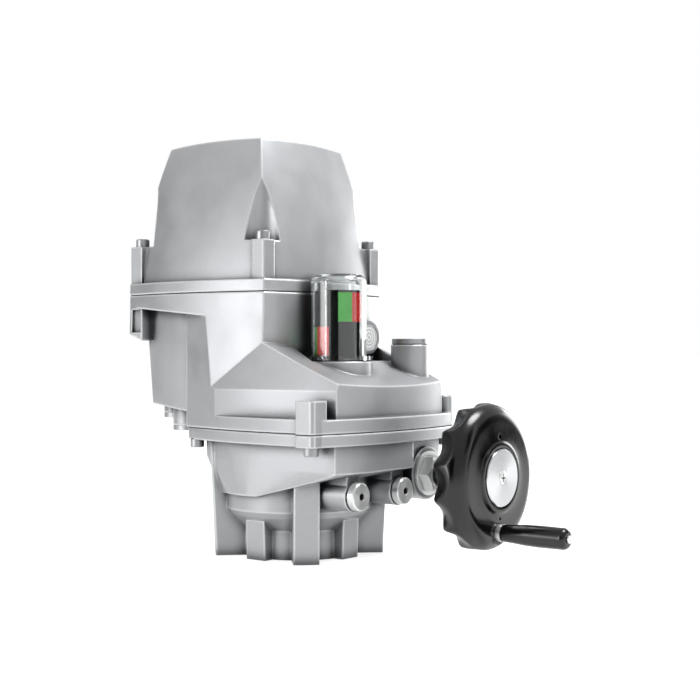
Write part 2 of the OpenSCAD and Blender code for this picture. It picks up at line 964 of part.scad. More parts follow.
// Hollow head plug over an end stop
module stop_cap(s) {
    translate([cap_seat + 1, s * stop_y, stop_z])
        rotate([0, 90, 0])
            difference() {
                union() {
                    translate([0, 0, -8])
                        cylinder(r = cap_r - 2.5 - 0.02, h = 8 + eps);
                    cylinder(r = cap_r, h = cap_head - 1);
                    translate([0, 0, cap_head - 1 - eps])
                        cylinder(r1 = cap_r, r2 = cap_r - 0.8, h = 0.8);
                }
                translate([0, 0, cap_head - 5])
                    hexagon(5, 6);
            }
}

module stop_cap_open() {
    color(steel_color)
    stop_cap(-1);
}

module stop_cap_close() {
    color(steel_color)
    stop_cap(1);
}

module stop_cap_seals() {
    color(rubber_color)
    for (s = [-1, 1])
        ring_x(cap_r - 0.3, cap_r - 2.5, cap_seat, cap_seat + 1, s * stop_y, stop_z);
}

module output_seal() {
    color(rubber_color)
    ring(journal_r + 5.5, journal_r + 0.1, 1, 6);
}

module output_bush_lower() {
    color(bronze)
    ring(journal_r + 3, journal_r + run_gap, 6, ring_h + 4);
}

module output_bush_upper() {
    color(bronze)
    ring(upper_shaft_r + 3, upper_shaft_r + run_gap, base_z, floor_top);
}

// Ball bearing drawn as its outer ring, inner ring and balls joined by the cage
module worm_bearing(x) {
    ring_x(bearing_od, shaft_r + run_gap, x, x + bearing_w, worm_y, worm_z);
}

module worm_bearing_front() {
    color(steel_color)
    worm_bearing(front_bearing_x);
}

module worm_bearing_rear() {
    color(steel_color)
    worm_bearing(rear_bearing_x);
}

module bearing_nut() {
    color(steel_color)
    difference() {
        union() {
            rod_x(bearing_od, front_bearing_x + bearing_w, tunnel_right + eps, worm_y, worm_z);
            rod_x(16, tunnel_right, nut_x + eps, worm_y, worm_z);
            intersection() {
                translate([nut_x, worm_y, worm_z])
                    rotate([0, 90, 0])
                        rotate(30)
                            hexagon(nut_af, nut_len);
                turned_x(worm_y, worm_z)
                    polygon([[0, nut_x], [14.5, nut_x], [14.5, nut_x + nut_len - 1.6],
                        [11.6, nut_x + nut_len], [0, nut_x + nut_len]]);
            }
        }
        rod_x(shaft_r + 0.4, 0, far, worm_y, worm_z);
        rod_x(9.5, nut_x + nut_len - 6, far, worm_y, worm_z);
    }
}

module shaft_seal() {
    color(rubber_color)
    ring_x(9.5, shaft_r + 0.1, nut_x + nut_len - 6, nut_x + nut_len - 1, worm_y, worm_z);
}

module bearing_cover() {
    color(steel_color)
    difference() {
        union() {
            rod_x(11, rear_bearing_x - 5, rear_bearing_x, worm_y, worm_z);
            rod_x(13.5, tunnel_left - 3, tunnel_left, worm_y, worm_z);
            rod_x(10, tunnel_left - eps, rear_bearing_x - 5 + eps, worm_y, worm_z);
        }
        translate([tunnel_left - 4, worm_y, worm_z])
            rotate([0, 90, 0])
                hexagon(8, 5);
        rod_x(shaft_r + 1, rear_bearing_x - 3, rear_bearing_x + 1, worm_y, worm_z);
    }
}

// Space of the tower wall beside the dome foot
module foot_flat() {
    translate([0, -collar_r, pocket_z - 1])
        cube([ind_x - dome_r - 0.2, 2 * collar_r, 8]);
}

module indicator_dome() {
    color("white", 0.4)
    difference() {
        translate([ind_x, 0, pocket_z])
            rotate_extrude()
                difference() {
                    union() {
                        translate([0, gasket_t])
                            square([collar_r, 3]);
                        square_dome(dome_r, dome_top - pocket_z, gasket_t, 6);
                    }
                    square_dome(dome_r - dome_wall, dome_top - pocket_z - dome_wall, -1, 4);
                }
        foot_flat();
    }
}

// Half section of a cup with a rounded top edge
module square_dome(r, top, low, corner) {
    translate([0, low])
        square([r, top - low - corner]);
    translate([0, low])
        square([r - corner, top - low]);
    intersection() {
        translate([r - corner, top - corner])
            circle(corner);
        translate([0, low])
            square([r + 1, top]);
    }
}

module dome_seal() {
    color(rubber_color)
    difference() {
        translate([ind_x, 0, 0])
            ring(collar_r - 0.8, dome_r - 1, pocket_z, pocket_z + gasket_t);
        foot_flat();
    }
}

module indicator_bush() {
    color(bronze)
    translate([ind_x, 0, 0])
        ring(7, 4 + run_gap, 130, pocket_z);
}

module pillar_plug() {
    color(steel_color)
    translate([pillar_at[0], pillar_at[1], pillar_top])
        difference() {
            union() {
                translate([0, 0, 0.7])
                    cylinder(r = pillar_r - 0.7, h = 3.6);
                translate([0, 0, -10])
                    cylinder(r = pillar_r - 6 - 0.02, h = 10.7 + eps);
            }
            translate([0, 0, 1.6])
                hexagon(8, 4);
        }
}

module pillar_seal() {
    color(rubber_color)
    translate([pillar_at[0], pillar_at[1], 0])
        ring(pillar_r - 1.2, pillar_r - 6, pillar_top, pillar_top + 0.7);
}

// Blanking plug of a cable entry, head down
module blank_plug(at, r, z) {
    translate([at[0], at[1], z])
        difference() {
            union() {
                translate([0, 0, -3.6])
                    cylinder(r = r, h = 3.6);
                cylinder(r = r - 2.52, h = 9);
            }
            translate([0, 0, -4])
                hexagon(r * 0.8, 3);
        }
}

module cable_plug_large() {
    color(steel_color)
    blank_plug(entry_large, entry_large_r, entry_large_z);
}

module cable_plug_small() {
    color(steel_color)
    blank_plug(entry_small, entry_small_r, entry_small_z);
}

module status_bezel() {
    color(steel_color)
    translate([window_at[0], window_at[1], window_at[2]])
        rotate([0, 90, 0])
            difference() {
                union() {
                    translate([0, 0, -2])
                        cylinder(r = window_r, h = 5);
                    translate([0, 0, -8])
                        cylinder(r = window_r - 3.02, h = 7);
                }
                translate([0, 0, -9])
                    cylinder(r = window_r - 4.5, h = 20);
                translate([0, 0, 1])
                    cylinder(r = window_r - 2.5, h = 5);
            }
}

module status_lens() {
    color("white", 0.6)
    translate([window_at[0] + 1, window_at[1], window_at[2]])
        rotate([0, 90, 0])
            cylinder(r = window_r - 2.52, h = 1.6);
}

module gear_plate() {
    color(dark_steel)
    difference() {
        union() {
            translate([gear_x - 8, idler_y - 26, floor_top])
                cube([3, 52, motor_z + 22 - floor_top]);
            translate([gear_x - 16, idler_y - 26, floor_top])
                cube([9, 52, 3]);
            translate([gear_x - 8, idler_y - 5.6, base_z + 0.4])
                cube([3, 11.2, wall + 2]);
        }
        rod_x(8, gear_x - 20, gear_x, idler_y, motor_z);
        rod_x(idler_pin_r, gear_x - 9, gear_x, idler_y, idler_z);
    }
}

module idler_pin() {
    color(steel_color)
    rod_x(idler_pin_r, gear_x - 8, gear_x + gear_face + 2, idler_y, idler_z);
}

module motor() {
    x1 = gear_x - 8;
    x0 = x1 - motor_len;
    color(dark_steel)
    difference() {
        union() {
            rod_x(motor_r - 1, x0, x1, idler_y, motor_z);
            rod_x(motor_r, x0 + 6, x1 - 8, idler_y, motor_z);
            rod_x(8, x1 - 1, x1 + 3, idler_y, motor_z);
        }
        rod_x(3.3, x1 - 20, x1 + 4, idler_y, motor_z);
    }
}

module control_board() {
    color("#2e6b46")
    difference() {
        translate(board_at)
            cube(board_size);
        for (p = board_corners)
            translate([p[0], board_at[1] + 3, p[1]])
                rotate([90, 0, 0])
                    cylinder(r = 1.6, h = 6);
    }
}

module board_posts() {
    color(brass)
    for (p = board_corners)
        translate([p[0], board_at[1], p[1]])
            rotate([90, 0, 0])
                cylinder(r = 3, h = 6);
}

module board_parts() {
    y0 = board_at[1] + board_size[1];
    color(black) {
        translate([board_at[0] + 12, y0, board_at[2] + 34])
            cube([16, 3, 16]);
        for (i = [0:2])
            translate([board_at[0] + 38 + i * 11, y0, board_at[2] + 42])
                rotate([-90, 0, 0])
                    cylinder(r = 4.5, h = 14);
    }
}

module terminal_block() {
    y0 = board_at[1] + board_size[1];
    ways = 8;
    pitch = 6;
    color("#4d7f5a")
    difference() {
        translate([board_at[0] + 14, y0, board_at[2] + 8])
            cube([ways * pitch, 14, 14]);
        for (i = [0:ways - 1])
            translate([board_at[0] + 14 + (i + 0.5) * pitch, y0 + 8, board_at[2] + 15])
                rotate([-90, 0, 0])
                    cylinder(r = 1.8, h = 8);
    }
}

module output_drive() {
    color(dark_steel)
    difference() {
        union() {
            translate([0, 0, 0.5])
                cylinder(r = journal_r, h = ring_h + 4.5);
            translate([0, 0, ring_h + 4 + run_gap])
                cylinder(r = journal_r + 2, h = 10);
            translate([0, 0, 30])
                cylinder(r = hub_r, h = worm_z - wheel_face_w / 2 - 30);
            cylinder_from(neck_shaft_r, 54, worm_z + wheel_face_w / 2);
            cylinder_from(hub_r - 2, worm_z + wheel_face_w / 2, 84);
            cylinder_from(upper_shaft_r, 80, ind_gear_z + ind_gear_h + 2);
            stop_cam();
        }
        translate([-socket_side / 2, -socket_side / 2, -1])
            cube([socket_side, socket_side, socket_depth + 1]);
        translate([0, 0, socket_depth - eps])
            cylinder(r = 6, h = 200);
    }
}

// Cylinder along Z between two heights
module cylinder_from(r, z0, z1) {
    translate([0, 0, z0])
        cylinder(r = r, h = z1 - z0);
}

// Quarter segment that meets the end stop screws
module stop_cam() {
    translate([0, 0, cam_low])
        linear_extrude(cam_top - cam_low)
            intersection() {
                circle(stop_cam_r);
                polygon([[cam_half, 0], [cam_half, 60], [-60, 60], [-60, -cam_half], [0, -cam_half]]);
            }
}

module worm_wheel() {
    color(bronze)
    translate([0, 0, worm_z - wheel_face_w / 2])
        difference() {
            wave_gear(wheel_pitch, wheel_teeth, 2 * worm_gap, worm_wave, wheel_face_w,
                90 + 180 / wheel_teeth);
            translate([0, 0, -1])
                cylinder(r = neck_shaft_r, h = wheel_face_w + 2);
        }
}

module output_gear() {
    color(steel_color)
    translate([0, 0, ind_gear_z])
        difference() {
            wave_gear(ind_pitch, ind_teeth, spur_gap, spur_wave, ind_gear_h, 0);
            translate([0, 0, -1])
                cylinder(r = upper_shaft_r, h = ind_gear_h + 2);
        }
}

module worm_shaft() {
    color(steel_color) {
        rod_x(shaft_r, rear_bearing_x - 2, rear_bearing_x + bearing_w, worm_y, worm_z);
        rod_x(7, rear_bearing_x + bearing_w + 0.3, 0.3 - worm_half, worm_y, worm_z);
        rod_x(shaft_r, rear_bearing_x + bearing_w - eps, rear_bearing_x + bearing_w + 0.4, worm_y, worm_z);
        translate([0, worm_y, worm_z])
            rotate([0, 90, 0])
                rotate(180 * (worm_turns % 2))
                    linear_extrude(2 * worm_half, center = true, twist = -360 * worm_turns,
                        slices = 14 * worm_turns, $fn = 20)
                        translate([0, -worm_wave])
                            circle(worm_r);
        rod_x(7, worm_half - 0.3, front_bearing_x - 0.3, worm_y, worm_z);
        difference() {
            rod_x(shaft_r, front_bearing_x - 0.4, hand_face - 8, worm_y, worm_z);
            rod_x(2.52, hand_face - 20, hand_face, worm_y, worm_z);
        }
    }
}

module drive_gear() {
    color(steel_color)
    translate([gear_x, worm_y, worm_z])
        rotate([0, 90, 0])
            difference() {
                wave_gear(drive_pitch, drive_teeth, spur_gap, spur_wave, gear_face, drive_phase);
                translate([0, 0, -1])
                    cylinder(r = 7, h = gear_face + 2);
            }
}

module idler_gear() {
    color(steel_color)
    translate([gear_x, idler_y, idler_z])
        rotate([0, 90, 0])
            difference() {
                wave_gear(idler_pitch, idler_teeth, spur_gap, spur_wave, gear_face, idler_phase);
                translate([0, 0, -1])
                    cylinder(r = idler_pin_r + run_gap, h = gear_face + 2);
                for (a = [0:60:300])
                    rotate(a)
                        translate([14.5, 0, -1])
                            cylinder(r = 4.5, h = gear_face + 2);
            }
}

module motor_pinion() {
    color(steel_color)
    translate([gear_x, idler_y, motor_z])
        rotate([0, 90, 0]) {
            wave_gear(pinion_pitch, pinion_teeth, spur_gap, spur_wave, gear_face, pinion_phase);
            translate([0, 0, -24])
                cylinder(r = 3.25, h = 24 + eps);
        }
}

module indicator_shaft() {
    color(steel_color)
    translate([ind_x, 0, ind_gear_z]) {
        wave_gear(ind_pitch, ind_teeth, spur_gap, spur_wave, ind_gear_h, 180 + 180 / ind_teeth);
        cylinder(r = 4, h = drum_top - 20 - ind_gear_z);
        translate([0, 0, ind_gear_h - eps])
            cylinder(r = 6.5, h = 130 - free_gap - ind_gear_z - ind_gear_h);
    }
}

// Sector of a thin shell round the drum
module drum_field(a0, a1, z0, z1, over) {
    translate([ind_x, 0, z0])
        rotate(a0)
            rotate_extrude(angle = a1 - a0)
                translate([drum_r - 0.6, 0])
                    square([0.6 + over, z1 - z0]);
}

// Places of the coloured fields: start angle, end angle, bottom and top
green_fields = [[-52, -18, 165, 185.3], [-146, -110, 141.6, 161.4]];
red_fields = [[-18, 18, 165, 185.3], [-110, -74, 141.6, 161.4]];
field_rows = [[-52, 18, 165, 185.3], [-146, -74, 141.6, 161.4]];

module fields(list, over = 0) {
    for (turn = [0, 180])
        translate([ind_x, 0, 0])
            rotate(turn)
                translate([-ind_x, 0, 0])
                    for (f = list)
                        drum_field(f[0], f[1], f[2], f[3], over);
}

module indicator_drum() {
    color(black)
    difference() {
        translate([ind_x, 0, pocket_z + 1.6])
            difference() {
                cylinder(r = drum_r, h = drum_top - pocket_z - 1.6);
                translate([0, 0, -1])
                    cylinder(r = 4, h = 40);
                translate([0, 0, -1])
                    ring(drum_r - 2.5, 7, 0, 28);
            }
        fields(field_rows, 1);
    }
}

module indicator_green() {
    color("#63b85c")
    fields(green_fields);
}

module indicator_red() {
    color("#d9302c")
    fields(red_fields);
}

// Half section of the handwheel, drawn as radius and distance from the disc face
module wheel_section() {
    rear = -hand_depth;
    polygon(concat(
        [[shaft_r + 0.02, -38], [12, -38], [14, -13], [37, -11], [39, rear + 1], [40, rear],
            [hand_r - 2, rear], [hand_r - 0.6, rear + 3], [hand_r, -14]],
        [for (t = [10:10:90]) [hand_r - 10 + 10 * cos(t), -14 + 11 * sin(t)]],
        [[26, -2], [24.5, -0.6], [20.6, -0.9], [20, -2.2], [2.52, -2.2], [2.52, -8], [shaft_r + 0.02, -8]]));
}

module handwheel() {
    color(black)
    difference() {
        union() {
            translate([hand_face, worm_y, worm_z])
                rotate([0, 90, 0])
                    rotate_extrude($fn = 120)
                        wheel_section();
            rod_x(8, hand_face - 12, hand_face - 5, worm_y, worm_z - crank_r);
            rod_x(7, hand_face - 6, hand_face - 3.6, worm_y, worm_z - crank_r);
        }
        for (i = [0:lobes - 1])
            translate([0, worm_y, worm_z])
                rotate([i * 360 / lobes, 0, 0])
                    translate([hand_face - 17.5, 0, hand_r + 7.5]) {
                        rod_x(13, -20, 0);
                        sphere(13);
                    }
        rod_x(3, hand_face - 12, far, worm_y, worm_z - crank_r);
        rod_x(6.4, hand_face - 3.6, far, worm_y, worm_z - crank_r);
        // Opening mark above the disc
        translate([hand_face - 4.5, worm_y, worm_z + 33])
            rotate([0, 90, 0])
                cylinder(r = 1.3, h = 6);
    }
}

module wheel_disc() {
    color(steel_color)
    translate([0, worm_y, worm_z])
        rotate([0, 90, 0])
            translate([0, 0, hand_face - 2.2])
                difference() {
                    union() {
                        cylinder(r = disc_r, h = 1.7);
                        translate([0, 0, 1.7 - eps])
                            cylinder(r1 = disc_r, r2 = disc_r - 0.5, h = 0.5);
                    }
                    translate([0, 0, -1])
                        cylinder(r = 2.6, h = 4);
                    translate([0, 0, 0.6])
                        cylinder(r1 = 2.6, r2 = 5.2, h = 1.7);
                }
}

module wheel_screw() {
    color(steel_color)
    translate([hand_face - 2.2, worm_y, worm_z])
        rotate([0, 90, 0])
            difference() {
                union() {
                    translate([0, 0, -15])
                        cylinder(r = 2.5, h = 15.7);
                    translate([0, 0, 0.7])
                        cylinder(r1 = 2.5, r2 = 4.9, h = 1.4);
                    translate([0, 0, 2.1 - eps])
                        cylinder(r1 = 4.9, r2 = 3.6, h = 0.7);
                }
                for (a = [0, 90])
                    rotate(a)
                        translate([-2.6, -0.45, 1.2])
                            cube([5.2, 0.9, 3]);
            }
}

module crank_spindle() {
    x0 = hand_face - 3.6;
    color(steel_color) {
        rod_x(3, hand_face - 12, x0 + eps, worm_y, worm_z - crank_r);
        rod_x(6.2, x0, x0 + 4.2, worm_y, worm_z - crank_r);
        rod_x(2.2, x0 + 4, x0 + 4.5 + grip_len + 1.1, worm_y, worm_z - crank_r);
        rod_x(2.8, x0 + 4.5 + grip_len + 0.3, x0 + 4.5 + grip_len + 1.3, worm_y, worm_z - crank_r);
    }
}

module crank_grip() {
    x0 = hand_face - 3.6 + 4.5;
    color(black)
    turned_x(worm_y, worm_z - crank_r)
        difference() {
            polygon(concat(
                [[2.2 + run_gap, x0], [5.4, x0], [5.9, x0 + 0.8], [6.4, x0 + 8], [7.2, x0 + 18],
                    [7.5, x0 + 28], [7.4, x0 + grip_len - 4]],
                [for (t = [15:15:90]) [4.4 + 3 * cos(t), x0 + grip_len - 4 + 4 * sin(t)]],
                [[2.2 + run_gap, x0 + grip_len]]));
        }
}

gear_case();
case_gasket();
main_housing();
hood_gasket();
hood();
hood_screws();
case_screws();
stop_screw_open();
stop_screw_close();
stop_cap_open();
stop_cap_close();
stop_cap_seals();
output_seal();
output_bush_lower();
output_bush_upper();
worm_bearing_front();
worm_bearing_rear();
bearing_nut();
shaft_seal();
bearing_cover();
indicator_dome();
dome_seal();
indicator_bush();
pillar_plug();
pillar_seal();
cable_plug_large();
cable_plug_small();
status_bezel();
status_lens();
gear_plate();
idler_pin();
motor();
control_board();
board_posts();
board_parts();
terminal_block();
output_drive();
worm_wheel();
output_gear();
worm_shaft();
drive_gear();
handwheel();
wheel_disc();
wheel_screw();
crank_spindle();
crank_grip();
idler_gear();
motor_pinion();
indicator_shaft();
indicator_drum();
indicator_green();
indicator_red();
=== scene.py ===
# Electric quarter-turn valve actuator: finishes, the moulded handwheel, studio and camera
import math
import json
import bpy
import bmesh
from mathutils import Vector, Matrix


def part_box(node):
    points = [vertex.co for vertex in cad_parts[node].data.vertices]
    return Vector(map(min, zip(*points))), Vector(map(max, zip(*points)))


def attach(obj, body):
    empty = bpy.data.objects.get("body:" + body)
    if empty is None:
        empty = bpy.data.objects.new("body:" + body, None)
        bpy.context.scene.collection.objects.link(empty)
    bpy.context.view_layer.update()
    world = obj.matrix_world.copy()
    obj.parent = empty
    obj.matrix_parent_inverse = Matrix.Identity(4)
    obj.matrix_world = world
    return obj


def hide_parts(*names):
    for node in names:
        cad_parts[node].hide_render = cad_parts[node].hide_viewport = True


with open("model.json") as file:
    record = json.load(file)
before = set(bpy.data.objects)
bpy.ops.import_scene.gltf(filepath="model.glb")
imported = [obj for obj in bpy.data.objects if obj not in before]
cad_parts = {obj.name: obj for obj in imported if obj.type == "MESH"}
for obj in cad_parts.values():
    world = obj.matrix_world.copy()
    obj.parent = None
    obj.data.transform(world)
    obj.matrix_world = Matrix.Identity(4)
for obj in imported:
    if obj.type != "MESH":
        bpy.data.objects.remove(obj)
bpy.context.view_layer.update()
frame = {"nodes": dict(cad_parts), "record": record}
nodes = frame["nodes"]
print("frame loaded:", len(nodes), "nodes")


def linear(hexColor):
    # sRGB hex to the linear colour that the shaders use
    channels = [int(hexColor[i:i + 2], 16) / 255 for i in (1, 3, 5)]
    return tuple(c / 12.92 if c <= 0.04045 else ((c + 0.055) / 1.055) ** 2.4 for c in channels) + (1.0,)


def addNode(tree, kind, settings=None, inputs=None, links=None):
    # one shader node with its settings, its fixed inputs and its links
    node = tree.nodes.new(kind)
    for name, value in (settings or {}).items():
        setattr(node, name, value)
    for name, value in (inputs or {}).items():
        node.inputs[name].default_value = value
    for name, source in (links or {}).items():
        tree.links.new(source, node.inputs[name])
    return node


def newMaterial(name):
    material = bpy.data.materials.new(name)
    material.use_nodes = True
    tree = material.node_tree
    tree.nodes.clear()
    return material, tree


def closeMaterial(tree, shader):
    addNode(tree, "ShaderNodeOutputMaterial", links={"Surface": shader})


# What the patterns share
patterns = {
    "noiseSpan": (0.3, 0.7),  # a noise texture's values lie mostly between these
    "coatSamples": 6,         # rays for a rounded edge or a dark hollow: more is smoother and slower
    "edgeSamples": 4,
}


def glossRange(look):
    # noise turned into patches of more and less gloss
    return {"From Min": patterns["noiseSpan"][0], "From Max": patterns["noiseSpan"][1],
            "To Min": look["roughness"] - look["glossUp"], "To Max": look["roughness"] + look["glossDown"]}


def addSkin(tree, height, edgeMm, bump, heightMm):
    # an uneven skin over edges that are rounded in the shading
    edge = addNode(
        tree, "ShaderNodeBevel", {"samples": patterns["edgeSamples"]}, {"Radius": edgeMm / 1000})
    bumped = addNode(
        tree, "ShaderNodeBump",
        inputs={"Strength": bump, "Distance": heightMm / 1000},
        links={"Height": height, "Normal": edge.outputs["Normal"]})
    return bumped.outputs["Normal"]


def addRings(tree, node, pitchMm):
    # a wave in circles round the middle of a piece that lies along X
    low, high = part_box(node)
    middle = [(a + b) / 2 for a, b in zip(low, high)]
    place = addNode(tree, "ShaderNodeTexCoord").outputs["Object"]
    fromAxis = addNode(
        tree, "ShaderNodeVectorMath", {"operation": "SUBTRACT"}, {1: (0.0, middle[1], middle[2])}, {0: place})
    flat = addNode(
        tree, "ShaderNodeVectorMath", {"operation": "MULTIPLY"}, {1: (0.0, 1.0, 1.0)},
        {0: fromAxis.outputs["Vector"]})
    reach = addNode(tree, "ShaderNodeVectorMath", {"operation": "LENGTH"}, links={0: flat.outputs["Vector"]})
    phase = addNode(
        tree, "ShaderNodeMath", {"operation": "MULTIPLY"}, {1: 2 * math.pi * 1000 / pitchMm},
        {0: reach.outputs["Value"]})
    return addNode(tree, "ShaderNodeMath", {"operation": "SINE"}, links={0: phase.outputs[0]}).outputs[0]


# Die-cast aluminium under a silver-grey powder coat: a satin skin with a fine sandy grain,
# with a painted highlight on the rounded edges and painted shade in the corners
castCoat = {
    "color": "#bec0c2",
    "shadeColor": "#b5b7ba",
    # the colour of the painted highlight on the rounded edges
    "edgeHighlightColor": "#fafbfc",
    # the colour of the painted shade in the corners
    "cornerShadeColor": "#2c2e31",
    "metallic": 0.40,
    "roughness": 0.36,
    "glossUp": 0.05,              # how much smoother the patches of the coat get, and how much rougher
    "glossDown": 0.07,
    "grainMm": 0.9,               # the coat's grain is about 0.3 mm, drawn coarser so that it shows
    "grainShare": 0.45,           # how much of the colour's change is grain, and how much is mottle
    "grainBump": 0.10,
    "grainHeightMm": 0.2,
    "mottleMm": 22.0,
    "mottleShare": 0.55,
    "tones": (0.36, 0.62),        # where in that change the shade ends and the full colour starts
    "edgeMm": 2.2,                # cast edges are broken to about this radius
    "edgeHighlightSpan": (0.998, 0.96),    # how near an edge stays to its face where the painted highlight starts, and where it is full
    "cornerMm": 10.0,             # how far the painted shade reaches out of a corner
    "cornerShadeSpan": (0.96, 0.42),  # how open a place is where the painted shade starts, and where it is full
}


def makeCastCoat():
    look = castCoat
    material, tree = newMaterial("powder coated die-cast aluminium")
    place = addNode(tree, "ShaderNodeTexCoord").outputs["Object"]
    grain = addNode(
        tree, "ShaderNodeTexNoise",
        inputs={"Scale": 1000 / look["grainMm"], "Detail": 3.0, "Roughness": 0.6}, links={"Vector": place})
    mottle = addNode(
        tree, "ShaderNodeTexNoise",
        inputs={"Scale": 1000 / look["mottleMm"], "Detail": 4.0, "Roughness": 0.55}, links={"Vector": place})
    grainPart = addNode(
        tree, "ShaderNodeMath", {"operation": "MULTIPLY"}, {1: look["grainShare"]}, {0: grain.outputs["Fac"]})
    change = addNode(
        tree, "ShaderNodeMath", {"operation": "MULTIPLY_ADD"}, {1: look["mottleShare"]},
        {0: mottle.outputs["Fac"], 2: grainPart.outputs[0]})
    ramp = addNode(tree, "ShaderNodeValToRGB", links={"Fac": change.outputs[0]})
    for stop, at, color in zip(ramp.color_ramp.elements, look["tones"], (look["shadeColor"], look["color"])):
        stop.position = at
        stop.color = linear(color)

    # painted highlight on the edges: where the rounded edge leans away from the face it belongs to
    edge = addNode(
        tree, "ShaderNodeBevel", {"samples": patterns["coatSamples"]}, {"Radius": look["edgeMm"] / 1000})
    face = addNode(tree, "ShaderNodeNewGeometry").outputs["Normal"]
    bend = addNode(
        tree, "ShaderNodeVectorMath", {"operation": "DOT_PRODUCT"}, links={0: edge.outputs["Normal"], 1: face})
    edgeHighlightMask = addNode(
        tree, "ShaderNodeMapRange",
        inputs={"From Min": look["edgeHighlightSpan"][0], "From Max": look["edgeHighlightSpan"][1], "To Min": 0.0, "To Max": 1.0},
        links={"Value": bend.outputs["Value"]})
    light = addNode(
        tree, "ShaderNodeMix", {"data_type": "RGBA"}, {7: linear(look["edgeHighlightColor"])},
        {0: edgeHighlightMask.outputs["Result"], 6: ramp.outputs["Color"]})

    # painted shade in the corners
    corner = addNode(
        tree, "ShaderNodeAmbientOcclusion", {"samples": patterns["coatSamples"]},
        {"Distance": look["cornerMm"] / 1000})
    cornerShadeMask = addNode(
        tree, "ShaderNodeMapRange", {"interpolation_type": "SMOOTHSTEP"},
        {"From Min": look["cornerShadeSpan"][0], "From Max": look["cornerShadeSpan"][1], "To Min": 0.0, "To Max": 1.0},
        {"Value": corner.outputs["AO"]})
    dark = addNode(
        tree, "ShaderNodeMix", {"data_type": "RGBA"}, {7: linear(look["cornerShadeColor"])},
        {0: cornerShadeMask.outputs["Result"], 6: light.outputs[2]})

    rough = addNode(
        tree, "ShaderNodeMapRange", inputs=glossRange(look), links={"Value": mottle.outputs["Fac"]})
    bump = addNode(
        tree, "ShaderNodeBump",
        inputs={"Strength": look["grainBump"], "Distance": look["grainHeightMm"] / 1000},
        links={"Height": grain.outputs["Fac"], "Normal": edge.outputs["Normal"]})
    shader = addNode(
        tree, "ShaderNodeBsdfPrincipled", inputs={"Metallic": look["metallic"]},
        links={"Base Color": dark.outputs[2], "Roughness": rough.outputs["Result"],
               "Normal": bump.outputs["Normal"]})
    closeMaterial(tree, shader.outputs["BSDF"])
    return material


# Painted shade in sockets and corners: it darkens bare metal there
hollowShade = {
    "color": "#08080a",
    "reachMm": 6.0,
    "hollowShadeSpan": (0.58, 0.28),     # how open a hollow is where the painted shade starts, and where it is full
    "most": 0.97,             # how much of the metal the painted shade hides at the most
}


# darkens a colour in hollows with painted shade
def addHollowShade(tree, color):
    hollow = addNode(
        tree, "ShaderNodeAmbientOcclusion", {"samples": patterns["coatSamples"]},
        {"Distance": hollowShade["reachMm"] / 1000})
    hollowShadeSpan = addNode(
        tree, "ShaderNodeMapRange",
        inputs={"From Min": hollowShade["hollowShadeSpan"][0], "From Max": hollowShade["hollowShadeSpan"][1], "To Min": 0.0,
                "To Max": hollowShade["most"]},
        links={"Value": hollow.outputs["AO"]})
    mixed = addNode(
        tree, "ShaderNodeMix", {"data_type": "RGBA"}, {6: linear(color), 7: linear(hollowShade["color"])},
        {0: hollowShadeSpan.outputs["Result"]})
    return mixed.outputs[2]


# Bare metals, turned, milled or ground: a soft sheen with faint tool marks and cloudy patches
metals = {
    "bright stainless steel": {"color": "#aeb0b2", "roughness": 0.40, "markBump": 0.02, "edgeMm": 0.5},
    "oiled machined steel": {"color": "#8b8e91", "roughness": 0.36, "markBump": 0.03, "edgeMm": 0.3},
    "machined bronze": {"color": "#b98a52", "roughness": 0.34, "markBump": 0.03, "edgeMm": 0.3},
    "turned brass": {"color": "#cdae62", "roughness": 0.30, "markBump": 0.03, "edgeMm": 0.3},
}
bareMetal = {
    "metallic": 0.85,
    "markMm": 1.2,            # tool marks are about 0.1 mm apart, drawn coarser so that they show
    "markHeightMm": 0.1,
    "cloudMm": 25 / 3,
    "glossUp": 0.06,
    "glossDown": 0.08,
}


def makeMetal(name):
    look = {**bareMetal, **metals[name]}
    material, tree = newMaterial(name)
    place = addNode(tree, "ShaderNodeTexCoord").outputs["Object"]
    marks = addNode(
        tree, "ShaderNodeTexNoise",
        inputs={"Scale": 1000 / look["markMm"], "Detail": 2.0}, links={"Vector": place})
    cloud = addNode(
        tree, "ShaderNodeTexNoise",
        inputs={"Scale": 1000 / look["cloudMm"], "Detail": 3.0}, links={"Vector": place})
    rough = addNode(
        tree, "ShaderNodeMapRange", inputs=glossRange(look), links={"Value": cloud.outputs["Fac"]})
    skin = addSkin(tree, marks.outputs["Fac"], look["edgeMm"], look["markBump"], look["markHeightMm"])
    # the base colour takes painted shade in its hollows
    shader = addNode(
        tree, "ShaderNodeBsdfPrincipled", inputs={"Metallic": look["metallic"]},
        links={"Base Color": addHollowShade(tree, look["color"]), "Roughness": rough.outputs["Result"],
               "Normal": skin})
    closeMaterial(tree, shader.outputs["BSDF"])
    return material


# Metals faced on a lathe: the grooves run in circles, so the highlights fan out from the centre
turnedMetals = {
    "faced aluminium": {"color": "#d3d5d7", "metallic": 1.0, "roughness": 0.22, "anisotropy": 0.85},
    "faced nickel plated steel": {"color": "#eceded", "metallic": 0.7, "roughness": 0.30, "anisotropy": 0.80},
}
latheMarks = {
    "grooveMm": 0.9,          # the tool's feed is about 0.1 mm a turn, drawn coarser so that it shows
    "grooveBump": 0.10,
    "grooveHeightMm": 0.1,
    "edgeMm": 0.4,
    "stretchTurn": 0.25,      # a quarter turn lays the highlight's stretch across the grooves
}


